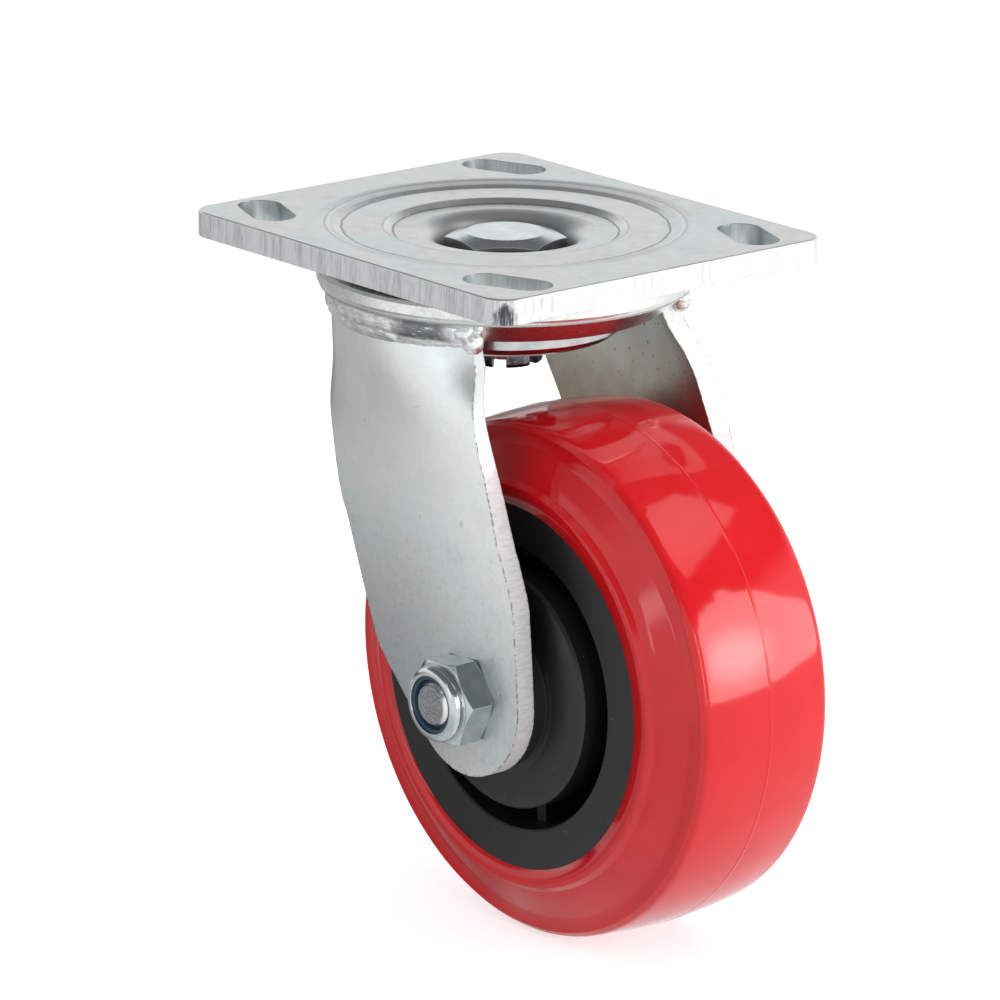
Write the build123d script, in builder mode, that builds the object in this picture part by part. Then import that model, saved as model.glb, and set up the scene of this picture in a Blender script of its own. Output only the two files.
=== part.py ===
from build123d import *
import os
from math import asin, cos, degrees, radians, sin, sqrt

# Swivel castor: a bolted top plate carries a welded yoke on two rings of balls, and a
# polyurethane-tyred wheel turns in the yoke on a roller bearing.
# Millimetres. The origin is on the swivel axis, on the plate's top face. +Z is up and
# +X points to the side where the wheel trails.

# ---- driving dimensions ----

# Top plate
plate_length = 115.0
plate_width = 100.0
plate_thickness = 6.0
plate_corner_radius = 6.5
plate_edge_radius = 0.5

# Mounting slots: the same bolts fit a square pattern at the slots' inner ends and a
# longer, narrower one at their outer ends
slot_square_pitch = 77.6
slot_long_pitch = 98.6
slot_short_pitch = 69.3
slot_width = 10.4

# Pressing in the middle of the plate, as radii and depths below the top face
ring_outer_radius = 41.8
ring_floor_radius = 38.8
ring_depth = 0.9
step_outer_radius = 28.4
step_inner_radius = 26.8
step_depth = 1.9
bowl_radius = 22.0
bowl_floor_radius = 15.2
bowl_depth = 8.0
plate_bowl_wall = 5.0

# Kingpin and its castle nut
kingpin_head_across_flats = 25.0
kingpin_head_top_radius = 9.3
kingpin_head_recess = 2.1
kingpin_head_chamfer_slope = 0.29
kingpin_head_turn = 49.65
kingpin_radius = 8.0
kingpin_thread_radius = 5.9
kingpin_end_recess = 1.1
fit_clearance = 0.1
castle_nut_across_flats = 19.0
castle_nut_hex_height = 7.2
castle_nut_crown_height = 5.2
castle_nut_crown_radius = 9.0
castle_nut_slot_width = 3.2
castle_nut_slots = 6
castle_nut_turn = 11.6

# Swivel bearing: two rings of loose balls
upper_ball_radius = 3.5
upper_ball_pitch_radius = 34.0
upper_ball_count = 24
lower_ball_radius = 3.0
lower_ball_pitch_radius = 22.0
lower_ball_count = 16
ball_clearance = 0.25
race_depth = 0.9

# Yoke ring, the pressed crown that carries the legs
yoke_rim_radius = 44.5
yoke_rim_wall = 4.1
yoke_rim_gap = 3.6
yoke_rim_round = 2.0
yoke_flange_thickness = 5.0
yoke_groove_wall = 5.1
yoke_cone_foot_radius = 37.5
yoke_cone_slope = 0.8
yoke_bore_radius = 16.6
yoke_plate_clearance = 1.2

# Lower race cup, clamped under the yoke by the kingpin nut
cup_side_wall = 3.0
cup_side_draft = 0.3
cup_shoulder_drop = 4.2
cup_shoulder_width = 1.4
cup_foot_width = 1.6
cup_foot_height = 0.8
cup_wall = 2.1
cup_yoke_gap = 0.4
cup_hub_radius = 14.0

# Yoke legs, 5 mm sheet. The stations down the rolled part give the drop below the top
# of the leg, the middle of the curve along X, how far the curve stands out beyond the
# rolled skin (at the top) or the flat face (lower down), and the curve's radius.
leg_thickness = 5.0
leg_root_radius = 35.8
leg_reach = 36.0
leg_foot_radius = 19.0
leg_flat_drop = 52.0
leg_flat_middle = 14.0
leg_rolled_stations = ((0, 0, 0.0, 44), (11, 2, -0.2, 50))
leg_easing_stations = ((19, 8, 1.1, 90), (27, 13, 0.2, 200), (38, 14, 0.0, 600))
leg_rear_bend = (-21.5, -41.0)
leg_edge_leans = (25, 24, 21, 15, 7, 0)
leg_edge_trim = 0.15
leg_rear_knee_from_axle = (-32.0, 5.3)
leg_front_knee_from_axle = (16.9, 25.0)

# Welds
weld_gap = 0.1
weld_leg = 1.9
weld_bulge = 1.8
weld_reach = 4.8
weld_start = -122.0
weld_arc = 72.0

# Wheel and axle
wheel_offset = 32.0
wheel_radius = 63.0
wheel_width = 50.0
wheel_top_clearance = 38.0
wheel_side_clearance = 8.5
tread_crown = 1.4
tread_flat_half = 18.6
tread_shoulder_radius = 2.2
tread_side_inset = 1.5
tread_step_radius = 48.4
tread_step_round = 0.5
core_radius = 43.9
core_rim_inner_radius = 34.2
core_boss_radius = 29.0
core_boss_stand_out = 2.4
core_dome_rise = 1.6
core_collar_radius = 20.0
core_hub_radius = 18.4
core_web_thickness = 8.0
core_rib_count = 6
core_rib_thickness = 3.2
core_rib_recess = 8.0
core_rib_turn = 35.0
bond_gap = 0.05
hub_end_play = 0.9

# Roller bearing in the wheel
roller_radius = 2.75
cage_end_gap = 3.95
roller_count = 10
bearing_clearance = 0.2
sleeve_radius = 9.5
cage_wall = 3.8
cage_pocket_clearance = 0.15
cage_end_ring = 3.5
thrust_washer_thickness = 0.74
thrust_washer_radius = 16.0

# Axle bolt and locking nut
axle_radius = 5.95
axle_hole_clearance = 0.2
sleeve_clearance = 0.15
bolt_head_height = 7.5
bolt_across_flats = 19.0
nut_hex_height = 7.4
nut_collar_height = 3.1
nut_collar_wall = 2.1
nut_bore_clearance = 0.05
insert_thickness = 0.95
insert_length = 2.6
insert_recess = 0.5
bolt_end_chamfer = 1.5
bolt_end_recess = 0.2
bolt_turn = 20.0
nut_turn = 4.5

# ---- derived levels ----

plate_underside = -plate_thickness
race_land = plate_underside - ring_depth - 0.6
upper_ball_z = race_land + race_depth - upper_ball_radius - ball_clearance
yoke_race_land = upper_ball_z - upper_ball_radius - ball_clearance + race_depth
plate_bowl_underside = -bowl_depth - plate_bowl_wall
yoke_top = plate_bowl_underside - yoke_plate_clearance
yoke_groove_floor = upper_ball_z - upper_ball_radius - ball_clearance
# the underside is flat: it clears both the flange's thickness and the wall under the groove
yoke_bottom = min(yoke_top - yoke_flange_thickness, yoke_groove_floor - yoke_groove_wall)
yoke_rim_top = plate_underside - yoke_rim_gap
lower_ball_z = yoke_bottom + race_depth - lower_ball_radius - ball_clearance
cup_floor = lower_ball_z - lower_ball_radius - ball_clearance + race_depth
cup_bottom = cup_floor - cup_wall
cup_top = yoke_bottom - cup_yoke_gap
cup_hub_top = cup_top + 0.9
nut_seat = cup_hub_top - cup_wall
castle_nut_bottom = nut_seat - castle_nut_hex_height - castle_nut_crown_height

axle_drop = wheel_radius + wheel_top_clearance
leg_inner_plane = wheel_width / 2 + wheel_side_clearance
leg_outer_plane = leg_inner_plane + leg_thickness
leg_skin_radius = leg_root_radius + leg_thickness
cup_radius = lower_ball_pitch_radius + lower_ball_radius + ball_clearance + cup_side_wall
hub_half_length = leg_inner_plane - hub_end_play
cage_half_length = hub_half_length - cage_end_gap
pocket_half_length = cage_half_length - cage_end_ring
roller_length = 2 * (pocket_half_length - cage_pocket_clearance)
insert_radius = axle_radius + insert_thickness
nut_collar_radius = insert_radius + nut_collar_wall
bearing_bore = sleeve_radius + 2 * roller_radius + 2 * bearing_clearance
roller_pitch_radius = sleeve_radius + roller_radius + bearing_clearance

cone_top_drop = yoke_rim_radius - yoke_cone_foot_radius - yoke_rim_round * (1 - cos(radians(45)))
leg_top = yoke_bottom + cone_top_drop * yoke_cone_slope
leg_rear_top = (-23.2, leg_top + 1)
leg_front_top = (24.0, leg_top + 1)
leg_rear_knee = (wheel_offset + leg_rear_knee_from_axle[0], leg_rear_knee_from_axle[1] - axle_drop)
leg_front_knee = (
    wheel_offset + leg_front_knee_from_axle[0],
    leg_front_knee_from_axle[1] - axle_drop,
)
leg_stations = [
    (drop, middle, leg_skin_radius + beyond, bend)
    for drop, middle, beyond, bend in leg_rolled_stations
]
leg_stations += [
    (drop, middle, leg_outer_plane + beyond, bend)
    for drop, middle, beyond, bend in leg_easing_stations
]
leg_flat_top = leg_top - leg_flat_drop
leg_front_slope = (leg_front_knee[0] - leg_front_top[0]) / (leg_front_top[1] - leg_front_knee[1])
# The same stations for the front edge, with the lean of the edge there and how far its
# cut stands off the outline: it starts above the sheet and runs out of it on the flat
leg_edge_stations = [((-3, *leg_stations[0][1:]), leg_edge_leans[0], -leg_edge_trim)]
leg_edge_stations += [
    (station, lean, -leg_edge_trim) for station, lean in zip(leg_stations, leg_edge_leans)
]
leg_edge_stations.append(
    ((leg_flat_drop, leg_flat_middle, leg_outer_plane, 600), leg_edge_leans[-1], 2 * leg_edge_trim)
)

axle_point = (wheel_offset, 0, -axle_drop)
axle = Axis(origin=axle_point, direction=(0, 1, 0))
# Profile plane of everything that turns about the axle: first coordinate along the
# axle, second coordinate the radius
axle_profile = Plane(origin=axle_point, x_dir=(0, 1, 0), z_dir=(1, 0, 0))


def radial_plane(angle):
    """Upright plane through the swivel axis, its first coordinate out at this angle."""
    turn = radians(angle)
    return Plane(origin=(0, 0, 0), x_dir=(cos(turn), sin(turn), 0), z_dir=(sin(turn), -cos(turn), 0))


def across(y):
    """Plane square to the axle at this height along it, first coordinate +X."""
    return Plane(origin=(wheel_offset, y, -axle_drop), x_dir=(1, 0, 0), z_dir=(0, -1, 0))


os.makedirs("parts", exist_ok=True)

# ---- top plate ----

slot_inner_end = Vector(slot_square_pitch / 2, slot_square_pitch / 2)
slot_outer_end = Vector(slot_long_pitch / 2, slot_short_pitch / 2)
slot_centre = (slot_inner_end + slot_outer_end) / 2
slot_run = slot_outer_end - slot_inner_end
slot_angle = degrees(asin(slot_run.Y / slot_run.length))

with BuildPart() as top_plate:
    with BuildSketch(Plane.XY.offset(plate_underside)):
        RectangleRounded(plate_length, plate_width, plate_corner_radius)
    extrude(amount=plate_thickness)
    fillet(top_plate.faces().sort_by(Axis.Z)[-1].edges(), plate_edge_radius)
    # metal pressed down below the plate: the upper race land and the kingpin's bowl
    with BuildSketch(Plane.XZ):
        with BuildLine():
            Polyline(
                (0, plate_underside + 1),
                (ring_outer_radius, plate_underside + 1),
                (ring_outer_radius, plate_underside),
                (ring_floor_radius, race_land),
                (bowl_radius + 6, race_land),
                (bowl_floor_radius + 6, plate_bowl_underside),
                (0, plate_bowl_underside),
                close=True,
            )
        make_face()
    revolve(axis=Axis.Z)
    # the same pressing seen from above
    with BuildSketch(Plane.XZ):
        with BuildLine():
            Polyline(
                (0, 1),
                (ring_outer_radius, 1),
                (ring_outer_radius, 0),
                (ring_floor_radius, -ring_depth),
                (step_outer_radius, -ring_depth + 0.1),
                (step_inner_radius, -step_depth),
                (bowl_radius, -step_depth - 0.1),
            )
            Spline(
                (bowl_radius, -step_depth - 0.1),
                (bowl_floor_radius, -bowl_depth + 0.8),
                tangents=((-1, -0.1), (-0.35, -1)),
            )
            Polyline(
                (bowl_floor_radius, -bowl_depth + 0.8),
                (bowl_floor_radius - 0.6, -bowl_depth),
                (0, -bowl_depth),
                (0, 1),
            )
        make_face()
    revolve(axis=Axis.Z, mode=Mode.SUBTRACT)
    # raceway of the upper balls
    with BuildSketch(Plane.XZ):
        with Locations((upper_ball_pitch_radius, upper_ball_z)):
            Circle(upper_ball_radius + ball_clearance)
    revolve(axis=Axis.Z, mode=Mode.SUBTRACT)
    with Locations((0, 0, -bowl_depth)):
        Hole(kingpin_radius + fit_clearance)
    with BuildSketch(Plane.XY):
        for side_x, side_y in ((1, 1), (1, -1), (-1, 1), (-1, -1)):
            with Locations(
                Location(
                    (side_x * slot_centre.X, side_y * slot_centre.Y),
                    side_x * side_y * slot_angle,
                )
            ):
                SlotCenterToCenter(slot_run.length, slot_width)
    extrude(amount=-plate_thickness, mode=Mode.SUBTRACT)

# ---- kingpin and castle nut ----

head_top = -kingpin_head_recess
head_corner_radius = kingpin_head_across_flats / sqrt(3)

with BuildPart() as kingpin:
    with BuildSketch(Plane.XY.offset(-bowl_depth)):
        RegularPolygon(
            kingpin_head_across_flats / 2, 6, major_radius=False, rotation=kingpin_head_turn
        )
    extrude(amount=bowl_depth + head_top)
    # turned crown that cuts the six corners back to a cone
    with BuildSketch(Plane.XZ):
        with BuildLine():
            Polyline(
                (0, -bowl_depth),
                (head_corner_radius + 1, -bowl_depth),
                (
                    head_corner_radius + 1,
                    head_top
                    - (head_corner_radius + 1 - kingpin_head_top_radius)
                    * kingpin_head_chamfer_slope,
                ),
                (kingpin_head_top_radius, head_top),
                (0, head_top),
                close=True,
            )
        make_face()
    revolve(axis=Axis.Z, mode=Mode.INTERSECT)
    with BuildSketch(Plane.XY.offset(cup_hub_top)):
        Circle(kingpin_radius)
    extrude(amount=-bowl_depth - cup_hub_top)
    kingpin_end = castle_nut_bottom + kingpin_end_recess
    with BuildSketch(Plane.XY.offset(kingpin_end)):
        Circle(kingpin_thread_radius)
    extrude(amount=cup_hub_top - kingpin_end)
    chamfer(kingpin.faces().sort_by(Axis.Z)[0].edges(), 1.0)

with BuildPart() as kingpin_nut:
    with BuildSketch(Plane.XY.offset(nut_seat - castle_nut_hex_height)):
        RegularPolygon(
            castle_nut_across_flats / 2, 6, major_radius=False, rotation=castle_nut_turn + 30
        )
    extrude(amount=castle_nut_hex_height)
    castle_corner = castle_nut_across_flats / sqrt(3)
    corner_cut = (castle_corner - castle_nut_across_flats / 2) * 0.6
    with BuildSketch(Plane.XZ):
        with BuildLine():
            Polyline(
                (0, nut_seat),
                (castle_nut_across_flats / 2, nut_seat),
                (castle_corner, nut_seat - corner_cut),
                (castle_corner, nut_seat - castle_nut_hex_height + corner_cut),
                (castle_nut_across_flats / 2, nut_seat - castle_nut_hex_height),
                (0, nut_seat - castle_nut_hex_height),
                close=True,
            )
        make_face()
    revolve(axis=Axis.Z, mode=Mode.INTERSECT)
    with BuildSketch(Plane.XY.offset(castle_nut_bottom)):
        Circle(castle_nut_crown_radius)
    extrude(amount=castle_nut_crown_height)
    fillet(kingpin_nut.faces().sort_by(Axis.Z)[0].edges(), 0.9)
    # slots right across the crown, with round roots
    for index in range(castle_nut_slots // 2):
        slot_turn = castle_nut_turn + 90 + index * 360 / castle_nut_slots
        with BuildSketch(radial_plane(slot_turn)):
            with Locations((0, castle_nut_bottom)):
                SlotCenterToCenter(
                    2 * castle_nut_crown_height - castle_nut_slot_width - 0.8,
                    castle_nut_slot_width,
                    rotation=90,
                )
        extrude(amount=2 * castle_nut_crown_radius, both=True, mode=Mode.SUBTRACT)
    with Locations((0, 0, nut_seat)):
        Hole(kingpin_thread_radius + fit_clearance)

# ---- lower race cup ----

cup_shoulder = cup_top - cup_shoulder_drop
cup_shoulder_radius = cup_radius - cup_side_draft
cup_corner_radius = cup_shoulder_radius - cup_shoulder_width
cup_inner_radius = cup_radius - cup_wall

with BuildPart() as lower_race_cup:
    with BuildSketch(Plane.XZ):
        with BuildLine():
            Polyline(
                (cup_inner_radius + 0.3, cup_top),
                (cup_radius - 0.4, cup_top),
                (cup_radius, cup_top - 0.4),
                (cup_shoulder_radius, cup_shoulder),
                (cup_corner_radius, cup_bottom + cup_foot_height),
                (cup_corner_radius - cup_foot_width, cup_bottom),
                (lower_ball_pitch_radius - 4.4, cup_bottom),
                (cup_hub_radius + 0.6, nut_seat),
                (kingpin_thread_radius + fit_clearance, nut_seat),
                (kingpin_thread_radius + fit_clearance, cup_hub_top),
                (cup_hub_radius, cup_hub_top),
                (lower_ball_pitch_radius - 3.6, cup_floor),
                (cup_inner_radius - 1.4, cup_floor),
                (cup_inner_radius, cup_floor + 1.4),
                close=True,
            )
        make_face()
        with Locations((lower_ball_pitch_radius, lower_ball_z)):
            Circle(lower_ball_radius + ball_clearance, mode=Mode.SUBTRACT)
    revolve(axis=Axis.Z)

# ---- loose balls of the two races ----

with BuildPart() as upper_balls:
    with Locations((0, 0, upper_ball_z)):
        with PolarLocations(upper_ball_pitch_radius, upper_ball_count):
            Sphere(upper_ball_radius)

with BuildPart() as lower_balls:
    with Locations((0, 0, lower_ball_z)):
        with PolarLocations(lower_ball_pitch_radius, lower_ball_count):
            Sphere(lower_ball_radius)

# ---- yoke ring ----

rim_inner_radius = yoke_rim_radius - yoke_rim_wall
cone_top_radius = yoke_rim_radius - yoke_rim_round * (1 - cos(radians(45)))
cone_top = yoke_bottom + (cone_top_radius - yoke_cone_foot_radius) * yoke_cone_slope
rim_round_top = cone_top + yoke_rim_round * sin(radians(45))

# Half section of the ring without its ball grooves
with BuildSketch() as yoke_section:
    with BuildLine():
        Polyline(
            (cone_top_radius, cone_top),
            (yoke_cone_foot_radius, yoke_bottom),
            (yoke_bore_radius, yoke_bottom),
            (yoke_bore_radius, yoke_top),
            (bowl_radius + 5.5, yoke_top),
            (bowl_radius + 6.7, yoke_race_land),
            (rim_inner_radius - 1.8, yoke_race_land),
            (rim_inner_radius, yoke_race_land + 1.8),
            (rim_inner_radius, yoke_rim_top - 0.8),
            (rim_inner_radius + 0.8, yoke_rim_top),
            (yoke_rim_radius - 0.8, yoke_rim_top),
            (yoke_rim_radius, yoke_rim_top - 0.8),
            (yoke_rim_radius, rim_round_top),
        )
        RadiusArc((yoke_rim_radius, rim_round_top), (cone_top_radius, cone_top), -yoke_rim_round)
    make_face()

with BuildPart() as yoke_ring:
    with BuildSketch(Plane.XZ):
        add(yoke_section.sketch_local)
        for pitch, height, radius in (
            (upper_ball_pitch_radius, upper_ball_z, upper_ball_radius),
            (lower_ball_pitch_radius, lower_ball_z, lower_ball_radius),
        ):
            with Locations((pitch, height)):
                Circle(radius + ball_clearance, mode=Mode.SUBTRACT)
    revolve(axis=Axis.Z)

# The ring with its fitting gap all round, to cut the legs and the welds to
with BuildPart() as yoke_envelope:
    with BuildSketch(Plane.XZ):
        add(yoke_section.sketch_local)
        offset(amount=weld_gap, kind=Kind.INTERSECTION)
    revolve(axis=Axis.Z)

# ---- legs ----

# Side outline of a leg, seen along the axle: straight runs down to a round foot
with BuildSketch(Plane.XZ) as leg_outline:
    with BuildLine():
        Polyline(leg_rear_top, leg_rear_bend, leg_rear_knee)
        Polyline(leg_front_knee, leg_front_top)
        CenterArc((wheel_offset, -axle_drop), leg_foot_radius, 0, 360)
    make_hull()
    for corner, radius in ((leg_rear_bend, 25), (leg_rear_knee, 25), (leg_front_knee, 20)):
        fillet(leg_outline.vertices().sort_by_distance(corner)[0], radius)

with BuildPart() as leg_left:
    # sheet rolled to the ring at the top, running out flat towards the axle
    for drop, middle, stand_out, bend in leg_stations:
        with BuildSketch(Plane.XY.offset(leg_top - drop)):
            with BuildLine():
                half_turn = asin(leg_reach / bend)
                skins = []
                for skin in (bend, bend - leg_thickness):
                    skins.append(
                        [
                            (middle + skin * sin(turn), bend - stand_out - skin * cos(turn))
                            for turn in (-half_turn, 0, half_turn)
                        ]
                    )
                ThreePointArc(*skins[0])
                Line(skins[0][2], skins[1][2])
                ThreePointArc(*reversed(skins[1]))
                Line(skins[1][0], skins[0][0])
            make_face()
    with BuildSketch(Plane.XY.offset(leg_flat_top)):
        with Locations((leg_flat_middle, leg_thickness / 2 - leg_outer_plane)):
            Rectangle(2 * leg_reach, leg_thickness)
    loft()
    with BuildSketch(Plane.XY.offset(leg_flat_top)):
        with Locations((leg_flat_middle, leg_thickness / 2 - leg_outer_plane)):
            Rectangle(3 * leg_reach, leg_thickness)
    extrude(amount=-axle_drop)
    extrude(leg_outline.sketch, amount=2 * leg_outer_plane, mode=Mode.INTERSECT)
    # the front edge was cut square to the sheet before rolling, so it leans with the roll
    for (drop, middle, stand_out, bend), turn, stand_off in leg_edge_stations:
        edge_x = leg_front_top[0] + (drop + 1) * leg_front_slope
        edge_y = bend * (1 - cos(asin((edge_x - middle) / bend))) - stand_out
        lean = radians(turn)
        outside = (edge_x + stand_off + 1.5 * sin(lean), edge_y - 1.5 * cos(lean))
        inside = (
            edge_x + stand_off - 2 * leg_thickness * sin(lean),
            edge_y + 2 * leg_thickness * cos(lean),
        )
        with BuildSketch(Plane.XY.offset(leg_top - drop)):
            with BuildLine():
                Polyline(
                    outside,
                    inside,
                    (edge_x + leg_thickness, inside[1]),
                    (edge_x + leg_thickness, outside[1]),
                    close=True,
                )
            make_face()
    loft(ruled=True, mode=Mode.SUBTRACT)
    add(yoke_envelope.part, mode=Mode.SUBTRACT)
    with BuildSketch(across(-leg_outer_plane)):
        Circle(axle_radius + axle_hole_clearance)
    extrude(amount=-leg_thickness, mode=Mode.SUBTRACT)

with BuildPart() as leg_right:
    mirror(leg_left.part, about=Plane.XZ)

# ---- welds between the ring and the legs ----

# Height at which the ring's cone meets the outer skin of a leg
weld_root = yoke_bottom + (leg_skin_radius - yoke_cone_foot_radius) * yoke_cone_slope

with BuildPart() as weld_left:
    with BuildSketch(radial_plane(weld_start)):
        with BuildLine():
            Polyline(
                (leg_skin_radius + weld_leg, weld_root + weld_leg * yoke_cone_slope),
                (leg_skin_radius - 2, weld_root),
                (leg_skin_radius - 1, weld_root - weld_reach),
                (leg_skin_radius - 0.2, weld_root - weld_reach),
            )
            Spline(
                (leg_skin_radius - 0.2, weld_root - weld_reach),
                (leg_skin_radius + weld_bulge, weld_root - weld_reach / 3),
                (leg_skin_radius + weld_leg, weld_root + weld_leg * yoke_cone_slope),
            )
        make_face()
    revolve(axis=Axis.Z, revolution_arc=weld_arc)
    add(yoke_envelope.part, mode=Mode.SUBTRACT)
    add(leg_left.part, mode=Mode.SUBTRACT)

with BuildPart() as weld_right:
    mirror(weld_left.part, about=Plane.XZ)

# ---- axle bolt, nut and spanner sleeve ----

hex_corner_radius = bolt_across_flats / sqrt(3)
hex_chamfer = (hex_corner_radius - bolt_across_flats / 2) * 0.6
bolt_head_face = leg_outer_plane + bolt_head_height
nut_hex_face = -leg_outer_plane - nut_hex_height
nut_face = nut_hex_face - nut_collar_height
insert_floor = nut_face + insert_recess + insert_length
bolt_end = nut_face + bolt_end_recess

with BuildPart() as axle_bolt:
    with BuildSketch(across(bolt_head_face)):
        RegularPolygon(bolt_across_flats / 2, 6, major_radius=False, rotation=30 + bolt_turn)
    extrude(amount=bolt_head_height)
    # corners of the head turned back on the outer face
    with BuildSketch(axle_profile):
        with BuildLine():
            Polyline(
                (leg_outer_plane, 0),
                (leg_outer_plane, hex_corner_radius),
                (bolt_head_face - hex_chamfer, hex_corner_radius),
                (bolt_head_face, bolt_across_flats / 2),
                (bolt_head_face, 0),
                close=True,
            )
        make_face()
    revolve(axis=axle, mode=Mode.INTERSECT)
    with BuildSketch(across(leg_outer_plane)):
        Circle(axle_radius)
    extrude(amount=leg_outer_plane - bolt_end)
    chamfer(axle_bolt.faces().sort_by(Axis.Y)[0].edges(), bolt_end_chamfer)

with BuildPart() as axle_nut:
    with BuildSketch(across(-leg_outer_plane)):
        RegularPolygon(bolt_across_flats / 2, 6, major_radius=False, rotation=nut_turn)
    extrude(amount=nut_hex_height)
    with BuildSketch(axle_profile):
        with BuildLine():
            Polyline(
                (-leg_outer_plane, 0),
                (-leg_outer_plane, bolt_across_flats / 2),
                (-leg_outer_plane - hex_chamfer, hex_corner_radius),
                (nut_hex_face + hex_chamfer, hex_corner_radius),
                (nut_hex_face, bolt_across_flats / 2),
                (nut_hex_face, 0),
                close=True,
            )
        make_face()
    revolve(axis=axle, mode=Mode.INTERSECT)
    # collar rolled over the nylon ring
    with BuildSketch(across(nut_hex_face)):
        Circle(nut_collar_radius)
    extrude(amount=nut_collar_height)
    fillet(axle_nut.faces().sort_by(Axis.Y)[0].edges(), nut_collar_radius - insert_radius - 0.3)
    with BuildSketch(across(-leg_outer_plane)):
        Circle(axle_radius + nut_bore_clearance)
    extrude(amount=nut_hex_height + nut_collar_height, mode=Mode.SUBTRACT)
    with BuildSketch(across(insert_floor)):
        Circle(insert_radius)
    extrude(amount=insert_floor - nut_face, mode=Mode.SUBTRACT)

with BuildPart() as nut_insert:
    with BuildSketch(across(insert_floor)):
        Circle(insert_radius - nut_bore_clearance)
        Circle(axle_radius + nut_bore_clearance, mode=Mode.SUBTRACT)
    extrude(amount=insert_length)

with BuildPart() as axle_sleeve:
    with BuildSketch(across(leg_inner_plane)):
        Circle(sleeve_radius)
        Circle(axle_radius + sleeve_clearance, mode=Mode.SUBTRACT)
    extrude(amount=2 * leg_inner_plane)

with BuildPart() as thrust_washers:
    for washer_face in (leg_inner_plane, thrust_washer_thickness - leg_inner_plane):
        with BuildSketch(across(washer_face)):
            Circle(thrust_washer_radius)
            Circle(sleeve_radius + fit_clearance, mode=Mode.SUBTRACT)
        extrude(amount=thrust_washer_thickness)

# ---- roller bearing ----

with BuildPart() as rollers:
    with BuildSketch(across(roller_length / 2)):
        with PolarLocations(roller_pitch_radius, roller_count):
            Circle(roller_radius)
    extrude(amount=roller_length)

with BuildPart() as roller_cage:
    with BuildSketch(across(cage_half_length)):
        Circle(roller_pitch_radius + cage_wall / 2)
        Circle(roller_pitch_radius - cage_wall / 2, mode=Mode.SUBTRACT)
    extrude(amount=2 * cage_half_length)
    with BuildSketch(across(pocket_half_length)):
        with PolarLocations(roller_pitch_radius, roller_count):
            Circle(roller_radius + cage_pocket_clearance)
    extrude(amount=2 * pocket_half_length, mode=Mode.SUBTRACT)

# ---- wheel core ----

core_half_width = wheel_width / 2
web_half = core_web_thickness / 2
boss_face = core_half_width + core_boss_stand_out

with BuildPart() as wheel_hub:
    with BuildSketch(axle_profile):
        with BuildLine():
            Polyline(
                (0, bearing_bore),
                (hub_half_length, bearing_bore),
                (hub_half_length, core_hub_radius),
                (boss_face + core_dome_rise + 0.4, core_hub_radius),
                (boss_face + core_dome_rise, core_collar_radius),
            )
            Spline(
                (boss_face + core_dome_rise, core_collar_radius),
                (boss_face, core_boss_radius - 0.6),
                tangents=((-0.15, 1), (-1.0, 1.6)),
            )
            Polyline(
                (boss_face, core_boss_radius - 0.6),
                (boss_face - 0.8, core_boss_radius),
                (web_half, core_boss_radius + 0.4),
                (web_half, core_rim_inner_radius),
                (core_half_width - 0.5, core_rim_inner_radius + 0.2),
                (core_half_width, core_rim_inner_radius + 0.7),
                (core_half_width, core_radius),
                (0, core_radius),
                (0, bearing_bore),
            )
        make_face()
        mirror(about=Plane.YZ)
    revolve(axis=axle)
    # ribs across the recess between boss and rim
    rib_half = core_half_width - core_rib_recess
    with BuildSketch(across(rib_half)):
        with PolarLocations(
            (core_boss_radius + core_rim_inner_radius) / 2, core_rib_count, start_angle=core_rib_turn
        ):
            Rectangle(core_rim_inner_radius - core_boss_radius + 2, core_rib_thickness)
    extrude(amount=2 * rib_half)

# ---- tread ----

crown_end_radius = wheel_radius - tread_crown

with BuildPart() as tread:
    with BuildSketch(axle_profile) as tread_section:
        with BuildLine():
            Polyline(
                (-tread_flat_half, crown_end_radius),
                (-core_half_width + tread_side_inset, tread_step_radius + 1),
                (-core_half_width, tread_step_radius),
                (-core_half_width, core_radius + bond_gap),
                (core_half_width, core_radius + bond_gap),
                (core_half_width, tread_step_radius),
                (core_half_width - tread_side_inset, tread_step_radius + 1),
                (tread_flat_half, crown_end_radius),
            )
            ThreePointArc(
                (tread_flat_half, crown_end_radius),
                (0, wheel_radius),
                (-tread_flat_half, crown_end_radius),
            )
        make_face()
        shoulder_points = tread_section.vertices().group_by(Axis.Y)[-1]
        fillet(shoulder_points, tread_shoulder_radius)
        step_points = tread_section.vertices().filter_by_position(
            Axis.Y, tread_step_radius - 0.1, tread_step_radius + 1.1
        )
        fillet(step_points, tread_step_round)
    revolve(axis=axle)

for sub_part, name in (
    (top_plate, "top_plate"),
    (kingpin, "kingpin"),
    (kingpin_nut, "kingpin_nut"),
    (lower_race_cup, "lower_race_cup"),
    (upper_balls, "upper_balls"),
    (lower_balls, "lower_balls"),
    (yoke_ring, "yoke_ring"),
    (leg_left, "leg_left"),
    (leg_right, "leg_right"),
    (weld_left, "weld_left"),
    (weld_right, "weld_right"),
    (axle_bolt, "axle_bolt"),
    (axle_nut, "axle_nut"),
    (nut_insert, "nut_insert"),
    (axle_sleeve, "axle_sleeve"),
    (thrust_washers, "thrust_washers"),
    (roller_cage, "roller_cage"),
    (rollers, "rollers"),
    (wheel_hub, "wheel_hub"),
    (tread, "tread"),
):
    sub_part.part.label = name
    export_step(sub_part.part, f"parts/{name}.step")
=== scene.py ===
from math import acos, ceil, cos, exp, hypot, pi, radians, sin, sqrt

import bmesh
import bpy
from mathutils import Matrix, Vector, noise


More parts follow.
